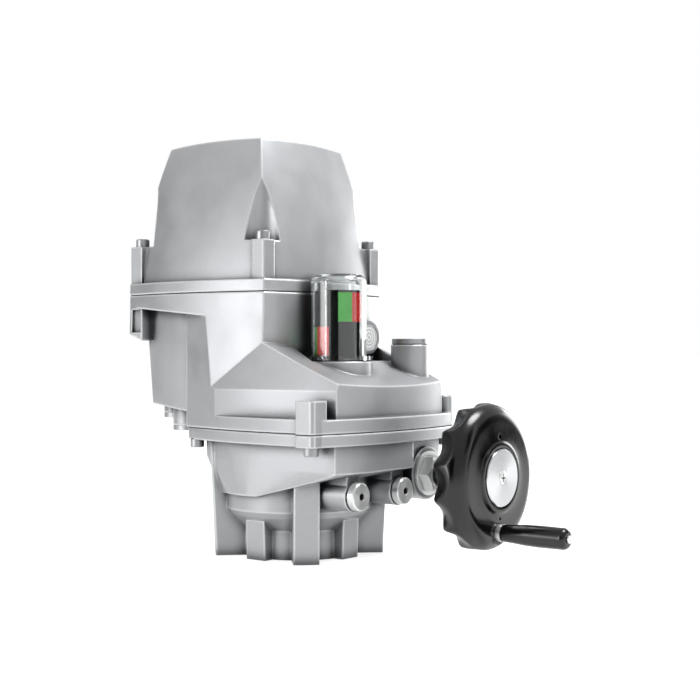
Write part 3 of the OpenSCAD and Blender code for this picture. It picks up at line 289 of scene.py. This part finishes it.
def makeTurnedMetal(name, node):
    look = {**latheMarks, **turnedMetals[name]}
    material, tree = newMaterial(name + ", " + node.replace("_", " "))
    groove = addRings(tree, node, look["grooveMm"])
    skin = addSkin(tree, groove, look["edgeMm"], look["grooveBump"], look["grooveHeightMm"])
    around = addNode(tree, "ShaderNodeTangent", {"direction_type": "RADIAL", "axis": "X"})
    # the base colour takes painted shade in its hollows
    shader = addNode(
        tree, "ShaderNodeBsdfPrincipled",
        inputs={"Metallic": look["metallic"], "Roughness": look["roughness"],
                "Anisotropic": look["anisotropy"], "Anisotropic Rotation": look["stretchTurn"]},
        links={"Base Color": addHollowShade(tree, look["color"]), "Tangent": around.outputs["Tangent"],
               "Normal": skin})
    closeMaterial(tree, shader.outputs["BSDF"])
    return material


# Plastics, rubber, print and lacquer: colour, gloss, and the size and depth of the skin's unevenness
mouldings = {
    "glossy black phenolic": {        # a polished mould: deep black with clear, slightly wavy highlights
        "color": "#060607", "roughness": 0.20, "waveMm": 14.0, "bump": 0.02, "edgeMm": 1.0, "coat": 0.1},
    "nitrile rubber": {               # matt, with a fine uneven skin
        "color": "#26272a", "roughness": 0.62, "waveMm": 0.8, "bump": 0.25, "edgeMm": 0.2, "coat": 0.0},
    "satin black nylon": {            # moulded: a quiet, even sheen
        "color": "#0e0f10", "roughness": 0.22, "waveMm": 6.0, "bump": 0.02, "edgeMm": 0.3, "coat": 0.0},
    "green printed field": {          # ink under varnish: a strong colour with a thin gloss
        "color": "#3cc434", "roughness": 0.30, "waveMm": 6.0, "bump": 0.02, "edgeMm": 0.1, "coat": 0.2},
    "red printed field": {
        "color": "#e3150f", "roughness": 0.30, "waveMm": 6.0, "bump": 0.02, "edgeMm": 0.1, "coat": 0.2},
    "circuit board lacquer": {        # brushed over glass cloth, whose unevenness shows faintly
        "color": "#2c6a47", "roughness": 0.40, "waveMm": 1.2, "bump": 0.15, "edgeMm": 0.1, "coat": 0.3},
    "green terminal nylon": {         # moulded with glass fibre: a duller, rougher skin
        "color": "#4c8a5c", "roughness": 0.45, "waveMm": 2.0, "bump": 0.10, "edgeMm": 0.3, "coat": 0.0},
}
mouldedSkin = {"waveHeightMm": 0.2, "coatRoughness": 0.12, "glossUp": 0.04, "glossDown": 0.06}


def makeMoulding(name):
    look = {**mouldedSkin, **mouldings[name]}
    material, tree = newMaterial(name)
    place = addNode(tree, "ShaderNodeTexCoord").outputs["Object"]
    wave = addNode(
        tree, "ShaderNodeTexNoise",
        inputs={"Scale": 1000 / look["waveMm"], "Detail": 3.0}, links={"Vector": place})
    rough = addNode(
        tree, "ShaderNodeMapRange", inputs=glossRange(look), links={"Value": wave.outputs["Fac"]})
    skin = addSkin(tree, wave.outputs["Fac"], look["edgeMm"], look["bump"], look["waveHeightMm"])
    shader = addNode(
        tree, "ShaderNodeBsdfPrincipled",
        inputs={"Base Color": linear(look["color"]), "Coat Weight": look["coat"],
                "Coat Roughness": look["coatRoughness"]},
        links={"Roughness": rough.outputs["Result"], "Normal": skin})
    closeMaterial(tree, shader.outputs["BSDF"])
    return material


# Moulded signal lens: pale, glossy, with pressed rings behind the face that catch the light, and painted shade
# on the rings' slopes
signalLens = {
    "color": "#ffffff",
    "ringShadeColor": "#c4c8cb",
    "roughness": 0.14,
    "coat": 0.8,
    "coatRoughness": 0.04,
    "ringMm": 2.6,
    "ringShadeSpan": (0.2, 0.95),     # where on a ring's slope the painted shade starts, and where it is full
    "ringBump": 0.25,
    "ringHeightMm": 0.3,
}


def makeSignalLens():
    look = signalLens
    material, tree = newMaterial("moulded signal lens")
    ring = addRings(tree, "status_lens", look["ringMm"])
    tone = addNode(
        tree, "ShaderNodeMapRange",
        inputs={"From Min": look["ringShadeSpan"][0], "From Max": look["ringShadeSpan"][1], "To Min": 0.0,
                "To Max": 1.0},
        links={"Value": ring})
    # painted shade on the rings' slopes
    color = addNode(
        tree, "ShaderNodeMix", {"data_type": "RGBA"},
        {6: linear(look["color"]), 7: linear(look["ringShadeColor"])}, {0: tone.outputs["Result"]})
    bump = addNode(
        tree, "ShaderNodeBump",
        inputs={"Strength": look["ringBump"], "Distance": look["ringHeightMm"] / 1000},
        links={"Height": ring})
    shader = addNode(
        tree, "ShaderNodeBsdfPrincipled",
        inputs={"Roughness": look["roughness"], "Coat Weight": look["coat"],
                "Coat Roughness": look["coatRoughness"]},
        links={"Base Color": color.outputs[2], "Normal": bump.outputs["Normal"]})
    closeMaterial(tree, shader.outputs["BSDF"])
    return material


# Moulded clear polycarbonate: colourless, polished, bends what lies behind it
clearDome = {"color": "#fbfdfd", "roughness": 0.0, "ior": 1.585}


def makeClearDome():
    material, tree = newMaterial("clear polycarbonate")
    shader = addNode(
        tree, "ShaderNodeBsdfPrincipled",
        inputs={"Base Color": linear(clearDome["color"]), "Roughness": clearDome["roughness"],
                "IOR": clearDome["ior"], "Transmission Weight": 1.0})
    closeMaterial(tree, shader.outputs["BSDF"])
    return material


# Which finish each of the record's slots takes
metalSlots = {
    "bright_steel": "bright stainless steel",
    "dark_steel": "oiled machined steel",
    "bronze": "machined bronze",
    "brass": "turned brass",
}
mouldedSlots = {
    "seal_rubber": "nitrile rubber",
    "black_plastic": "glossy black phenolic",
    "drum_black": "satin black nylon",
    "field_green": "green printed field",
    "field_red": "red printed field",
    "board_green": "circuit board lacquer",
    "terminal_green": "green terminal nylon",
}
brightTurned = ("stop_cap_open", "stop_cap_close", "wheel_screw", "crank_spindle", "bearing_nut")

finishes = {
    "casting": makeCastCoat(),
    "disc_metal": makeTurnedMetal("faced aluminium", "wheel_disc"),
    "dome_clear": makeClearDome(),
    "lens_white": makeSignalLens(),
}
for slotName, metalName in metalSlots.items():
    finishes[slotName] = makeMetal(metalName)
for slotName, mouldingName in mouldedSlots.items():
    finishes[slotName] = makeMoulding(mouldingName)


def dress(node, material):
    for holder in nodes[node].material_slots:
        holder.material = material


for part in frame["record"]["subparts"]:
    dress(part["node"], finishes[part["material_slot"]])
for name in brightTurned:
    dress(name, makeTurnedMetal("faced nickel plated steel", name))
print("finishes assigned:", len(finishes))


# Handwheel: a moulded dish on a hub, with a broad rounded shoulder and a skirt whose finger lobes
# come to soft points behind and fade out on the shoulder. Lengths are mm, depths from the face's plane
wheelShape = {
    "face": 137.2,               # where that plane is along X
    "lobes": 13,
    "firstLobe": 12.6,           # degrees up from the side towards -Y
    "lobeDepth": 5.8,
    "lobesFrom": -11.0,          # where the lobes start behind the face, and where they are full
    "lobesFull": -24.5,
    "lobesOutside": 41,          # inside this radius there are none
    "lobePoint": 0.03,           # how soft a lobe's point is, and what brings its wave back to 0 to 1
    "lobeLow": 0.173,
    "lobeSpan": 0.842,
    "stepsPerLobe": 16,
    "farSideIn": 0.95,           # keeps the side towards +Y inside the solid wheel's reach
    "farSideFade": 8,
    "shoulder": (38.2, -15.6),   # radius and depth of the shoulder's centre, and its reach out and forward
    "shoulderReach": (13.2, 12.9),
    "shoulderSteps": 18,
    "rear": [                    # radius and depth, from the hub's back outwards
        (6.1, -38), (11.4, -38), (12.2, -37.2), (13.6, -16), (14.6, -13.8), (17, -12.8), (34.6, -11.2),
        (36.6, -12.4), (38.4, -22), (39.0, -24.3), (40.2, -25.2), (48.4, -25.2), (49.9, -24.5),
        (50.8, -22.9), (51.2, -20.4), (51.4, -17.8)],
    "front": [                   # and from the shoulder inwards
        (33, -2.55), (26.4, -2.1), (25.0, -1.7), (24.2, -1.0), (23.4, -0.72), (21.4, -0.75),
        (20.5, -1.1), (20.1, -2.15), (2.6, -2.15), (2.6, -8), (6.1, -8)],
    "rods": [                    # what is added or cut: radius, first and last depth, height over the axis
        ("UNION", "crank boss", 8.4, -12.5, -3.0, -38),
        ("DIFFERENCE", "crank seat", 6.55, -3.6, 20, -38),
        ("DIFFERENCE", "crank bore", 3.05, -20, 20, -38),
        ("DIFFERENCE", "upper mark", 1.9, -7.5, 20, 28.4),
        ("DIFFERENCE", "lower mark", 1.2, -7.5, 20, -28.4)],
    "rodSides": 64,
    "smoothUnder": 34,           # edges that bend by less than this many degrees are shaded smooth
}


def rodAlongX(name, radius, low, high, y, z):
    mesh = bpy.data.meshes.new(name)
    tool = bmesh.new()
    bmesh.ops.create_cone(
        tool, cap_ends=True, segments=wheelShape["rodSides"], radius1=radius, radius2=radius,
        depth=high - low)
    bmesh.ops.rotate(tool, verts=tool.verts, matrix=Matrix.Rotation(math.radians(90), 3, "Y"))
    bmesh.ops.translate(tool, verts=tool.verts, vec=((low + high) / 2, y, z))
    tool.to_mesh(mesh)
    tool.free()
    rod = bpy.data.objects.new(name, mesh)
    bpy.context.scene.collection.objects.link(rod)
    return rod


def joinSolids(piece, steps):
    # adds or cuts each rod in turn, and leaves a plain mesh
    for operation, rod in steps:
        change = piece.modifiers.new("solid", "BOOLEAN")
        change.operation = operation
        change.solver = "EXACT"
        change.object = rod
    bpy.context.view_layer.update()
    solid = bpy.data.meshes.new_from_object(piece.evaluated_get(bpy.context.evaluated_depsgraph_get()))
    piece.modifiers.clear()
    piece.data = solid
    for step in steps:
        bpy.data.objects.remove(step[1])


def smoothByAngle(mesh, limit):
    tool = bmesh.new()
    tool.from_mesh(mesh)
    for face in tool.faces:
        face.smooth = True
    for edge in tool.edges:
        edge.smooth = len(edge.link_faces) == 2 and edge.calc_face_angle(0.0) < math.radians(limit)
    tool.to_mesh(mesh)
    tool.free()


def wheelOutline(shape):
    # the wheel's section as radius and depth, from the hub's back round the shoulder to the hub's front
    outline = list(shape["rear"])
    for step in range(shape["shoulderSteps"] + 1):
        turn = math.radians(90 * step / shape["shoulderSteps"])
        outline.append((shape["shoulder"][0] + shape["shoulderReach"][0] * math.cos(turn),
                        shape["shoulder"][1] + shape["shoulderReach"][1] * math.sin(turn)))
    return outline + shape["front"]


def rimRadius(shape, radius, depth, step, angle):
    # how far the wheel reaches at one step of a turn, with its lobes
    if radius <= shape["lobesOutside"]:
        return radius
    fade = min(1.0, max(0.0, (shape["lobesFrom"] - depth) / (shape["lobesFrom"] - shape["lobesFull"])))
    wave = math.sin(math.pi * step / shape["stepsPerLobe"]) ** 2 + shape["lobePoint"]
    hollow = (math.sqrt(wave) - shape["lobeLow"]) / shape["lobeSpan"]
    farSide = max(0.0, -math.cos(angle)) ** shape["farSideFade"]
    return radius - shape["lobeDepth"] * fade * hollow - shape["farSideIn"] * farSide


def makeHandwheel():
    shape = wheelShape
    low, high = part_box("wheel_disc")
    axisY, axisZ = (low[1] + high[1]) / 2, (low[2] + high[2]) / 2
    around = shape["lobes"] * shape["stepsPerLobe"]
    mesh = bpy.data.meshes.new("moulded handwheel")
    tool = bmesh.new()
    rings = []
    for radius, depth in wheelOutline(shape):
        ring = []
        for step in range(around):
            angle = math.radians(shape["firstLobe"]) + 2 * math.pi * step / around
            far = rimRadius(shape, radius, depth, step, angle) / 1000
            ring.append(tool.verts.new((
                (shape["face"] + depth) / 1000, axisY - far * math.cos(angle), axisZ + far * math.sin(angle))))
        rings.append(ring)
    for first, second in zip(rings, rings[1:] + rings[:1]):
        for step in range(around):
            after = (step + 1) % around
            tool.faces.new((first[step], first[after], second[after], second[step]))
    bmesh.ops.recalc_face_normals(tool, faces=tool.faces)
    tool.to_mesh(mesh)
    tool.free()
    wheel = bpy.data.objects.new("moulded_handwheel", mesh)
    bpy.context.scene.collection.objects.link(wheel)

    steps = []
    for operation, name, radius, first, last, above in shape["rods"]:
        start, end = (shape["face"] + first) / 1000, (shape["face"] + last) / 1000
        rod = rodAlongX(name, radius / 1000, start, end, axisY, axisZ + above / 1000)
        steps.append((operation, rod))
    joinSolids(wheel, steps)
    smoothByAngle(wheel.data, shape["smoothUnder"])
    wheel.data.materials.clear()
    wheel.data.materials.append(finishes["black_plastic"])
    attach(wheel, "worm_line")
    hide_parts("handwheel")


makeHandwheel()
print("handwheel modelled")


# Studio: a white sweep under a pale sky, low soft boxes at the left front and on both sides behind,
# two narrow strips, a round lamp above, and black cards between them that give the metal its dark
# reflections. Angles are degrees round the object from +X towards +Y, sizes and distances are
# metres, and lift is the height of the lower edge
studio = {
    "floorColor": "#d6d6d6",
    "floorRoughness": 0.9,
    "floorReach": 30,         # the sweep runs this far each way
    "floorDrop": 0.0003,      # and lies this far under the foot, so that the two faces stay apart
    "floorGlow": 0.78,        # makes the floor white to the camera and in glass, and leaves its shadow
    "floorInMetal": 0.8,      # how much of that glow polished metal shows
    "skyStrength": 0.57,
    "skyInMetal": 0.62,       # how bright the sky is in reflections
    "cardColor": "#101010",
    "lights": {
        "key box left front":
            {"angle": -114, "away": 1.5, "lift": 0.01, "width": 0.8, "height": 0.55, "watts": 4.8},
        "strip left front":
            {"angle": -103, "away": 1.3, "lift": 0.01, "width": 0.045, "height": 1.1, "watts": 2.2},
        "strip right":
            {"angle": 24, "away": 1.2, "lift": 0.01, "width": 0.10, "height": 1.1, "watts": 0.5},
        "box right behind":
            {"angle": 86, "away": 1.5, "lift": 0.02, "width": 0.8, "height": 0.6, "watts": 6.5},
        "box left behind":
            {"angle": 160, "away": 1.6, "lift": 0.10, "width": 0.7, "height": 0.8, "watts": 2.6},
    },
    "topLight": {"at": (0.50, 0.35, 1.20), "aim": (0.03, 0.0, 0.12), "width": 0.55, "watts": 11.5},
    "cards": {
        "black card front": {"angle": -66, "away": 1.35, "lift": 0.01, "width": 0.80, "height": 0.8},
        "black card right": {"angle": 46, "away": 1.32, "lift": 0.01, "width": 0.8, "height": 0.6},
        "black card high right": {"angle": 10, "away": 1.3, "lift": 0.40, "width": 0.40, "height": 0.8},
        "black card left": {"angle": -163, "away": 1.4, "lift": 0.01, "width": 0.65, "height": 0.8},
    },
}


def standFacing(name, data, place):
    # stands a lamp or a card round the object, faces it inwards and keeps it out of the picture
    turn = math.radians(place["angle"])
    holder = bpy.data.objects.new(name, data)
    holder.location = (place["away"] * math.cos(turn), place["away"] * math.sin(turn),
                       place["height"] / 2 + place["lift"])
    holder.rotation_euler = (math.radians(90), 0, math.radians(place["angle"] + 90))
    holder.visible_camera = False
    bpy.context.scene.collection.objects.link(holder)
    return holder


def flatSheet(name, halfWidth, halfLength, height, material):
    mesh = bpy.data.meshes.new(name)
    corners = [(-halfWidth, -halfLength, height), (halfWidth, -halfLength, height),
               (halfWidth, halfLength, height), (-halfWidth, halfLength, height)]
    mesh.from_pydata(corners, [], [(0, 1, 2, 3)])
    mesh.materials.append(material)
    return mesh


def makeFloor():
    # matt white paper: an even ground that takes a soft shadow
    material, tree = newMaterial("white paper sweep")
    paths = addNode(tree, "ShaderNodeLightPath")
    mirrored = addNode(
        tree, "ShaderNodeMath", {"operation": "MULTIPLY"}, {1: studio["floorInMetal"]},
        {0: paths.outputs["Is Glossy Ray"]})
    seen = addNode(
        tree, "ShaderNodeMath", {"operation": "MAXIMUM"},
        links={0: paths.outputs["Is Camera Ray"], 1: mirrored.outputs[0]})
    seenOrThrough = addNode(
        tree, "ShaderNodeMath", {"operation": "MAXIMUM"},
        links={0: seen.outputs[0], 1: paths.outputs["Is Transmission Ray"]})
    glow = addNode(
        tree, "ShaderNodeMath", {"operation": "MULTIPLY"}, {1: studio["floorGlow"]},
        {0: seenOrThrough.outputs[0]})
    shader = addNode(
        tree, "ShaderNodeBsdfPrincipled",
        inputs={"Base Color": linear(studio["floorColor"]), "Roughness": studio["floorRoughness"],
                "Specular IOR Level": 0.0, "Emission Color": (1, 1, 1, 1)},
        links={"Emission Strength": glow.outputs[0]})
    closeMaterial(tree, shader.outputs["BSDF"])
    reach = studio["floorReach"]
    floor = bpy.data.objects.new("sweep", flatSheet("sweep", reach, reach, -studio["floorDrop"], material))
    bpy.context.scene.collection.objects.link(floor)


def makeSky():
    # full white to the camera and through glass, dimmer where it lights the object or is mirrored
    world = bpy.data.worlds.new("studio")
    bpy.context.scene.world = world
    world.use_nodes = True
    tree = world.node_tree
    tree.nodes.clear()
    paths = addNode(tree, "ShaderNodeLightPath")
    mirrored = addNode(
        tree, "ShaderNodeMapRange",
        inputs={"To Min": studio["skyStrength"], "To Max": studio["skyInMetal"]},
        links={"Value": paths.outputs["Is Glossy Ray"]})
    seen = addNode(
        tree, "ShaderNodeMath", {"operation": "MAXIMUM"},
        links={0: paths.outputs["Is Camera Ray"], 1: paths.outputs["Is Transmission Ray"]})
    strength = addNode(
        tree, "ShaderNodeMath", {"operation": "MAXIMUM"},
        links={0: seen.outputs[0], 1: mirrored.outputs["Result"]})
    background = addNode(
        tree, "ShaderNodeBackground", inputs={"Color": (1, 1, 1, 1)}, links={"Strength": strength.outputs[0]})
    addNode(tree, "ShaderNodeOutputWorld", links={"Surface": background.outputs["Background"]})


def makeLamps():
    for name, light in studio["lights"].items():
        lamp = bpy.data.lights.new(name, "AREA")
        lamp.shape = "RECTANGLE"
        lamp.size = light["width"]
        lamp.size_y = light["height"]
        lamp.energy = light["watts"]
        standFacing(name, lamp, light)
    top = studio["topLight"]
    lamp = bpy.data.lights.new("top", "AREA")
    lamp.shape = "DISK"
    lamp.size = top["width"]
    lamp.energy = top["watts"]
    holder = bpy.data.objects.new("top", lamp)
    holder.location = top["at"]
    holder.rotation_euler = (Vector(top["at"]) - Vector(top["aim"])).to_track_quat("Z", "Y").to_euler()
    holder.visible_camera = False
    bpy.context.scene.collection.objects.link(holder)


def makeCards():
    # velvet takes nearly all light, so the cards show only as darkness in the metal
    material, tree = newMaterial("black velvet card")
    shader = addNode(
        tree, "ShaderNodeBsdfPrincipled",
        inputs={"Base Color": linear(studio["cardColor"]), "Roughness": 1.0, "Specular IOR Level": 0.0})
    closeMaterial(tree, shader.outputs["BSDF"])
    for name, place in studio["cards"].items():
        sheet = flatSheet(name, place["width"] / 2, place["height"] / 2, 0, material)
        standFacing(name, sheet, place)


makeFloor()
makeSky()
makeLamps()
makeCards()
print("studio lit:", len(studio["lights"]) + 1, "lamps")

# Camera: level, as far away and as long in the lens as the photograph's perspective asks
view = {
    "at": (0.6204, -0.7328, 0.1441),
    "azimuth": 38.07,         # degrees that it is turned from +Y towards -X
    "lens": 68.5,
    "sensor": 36,
    "shiftY": 0.0027,
    "nearest": 0.01,
}


def makeCamera():
    lens = bpy.data.cameras.new("camera")
    lens.lens = view["lens"]
    lens.sensor_width = view["sensor"]
    lens.shift_y = view["shiftY"]
    lens.clip_start = view["nearest"]
    camera = bpy.data.objects.new("camera", lens)
    camera.location = view["at"]
    camera.rotation_euler = (math.radians(90), 0, math.radians(view["azimuth"]))
    bpy.context.scene.collection.objects.link(camera)
    bpy.context.scene.camera = camera


makeCamera()
bpy.context.scene.view_settings.view_transform = "Standard"
print("camera ready")
